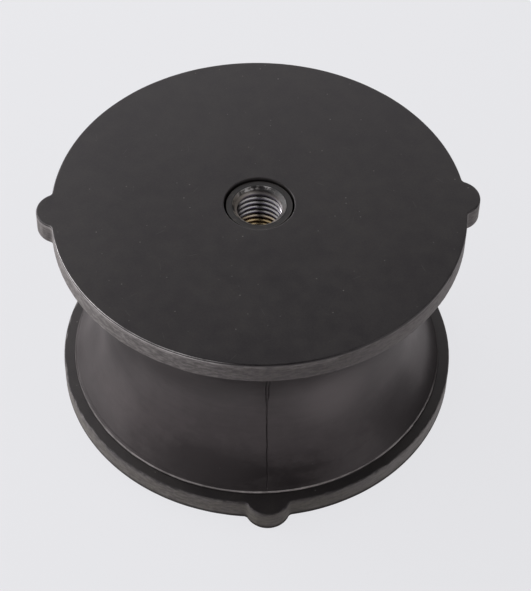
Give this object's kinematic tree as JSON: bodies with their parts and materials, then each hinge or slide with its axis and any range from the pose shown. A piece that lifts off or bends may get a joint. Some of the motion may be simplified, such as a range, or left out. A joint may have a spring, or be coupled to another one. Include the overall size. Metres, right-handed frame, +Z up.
{
  "type": "rubber mount",
  "caption": "Hourglass rubber block bonded between eared round steel plates, with a blind tapped insert at the centre of each plate, for isolating vibration.",
  "frame": {"origin": "centre of the bottom plate's outer face", "axes": "+Z up along the mount's axis to the top plate, +X through the top plate's ears, +Y through the bottom plate's ears"},
  "size_m": [0.171, 0.171, 0.095],
  "materials": {
    "rubber": "satin moulded black rubber",
    "black_coat": "satin black coat, worn at the edges",
    "turned_steel": "turned steel with a thin yellow passivation"
  },
  "bodies": {
    "root": {"rubber_body": "rubber", "top_plate": "black_coat", "bottom_plate": "black_coat", "top_threaded_insert": "turned_steel", "bottom_threaded_insert": "turned_steel"}
  },
  "joints": []
}
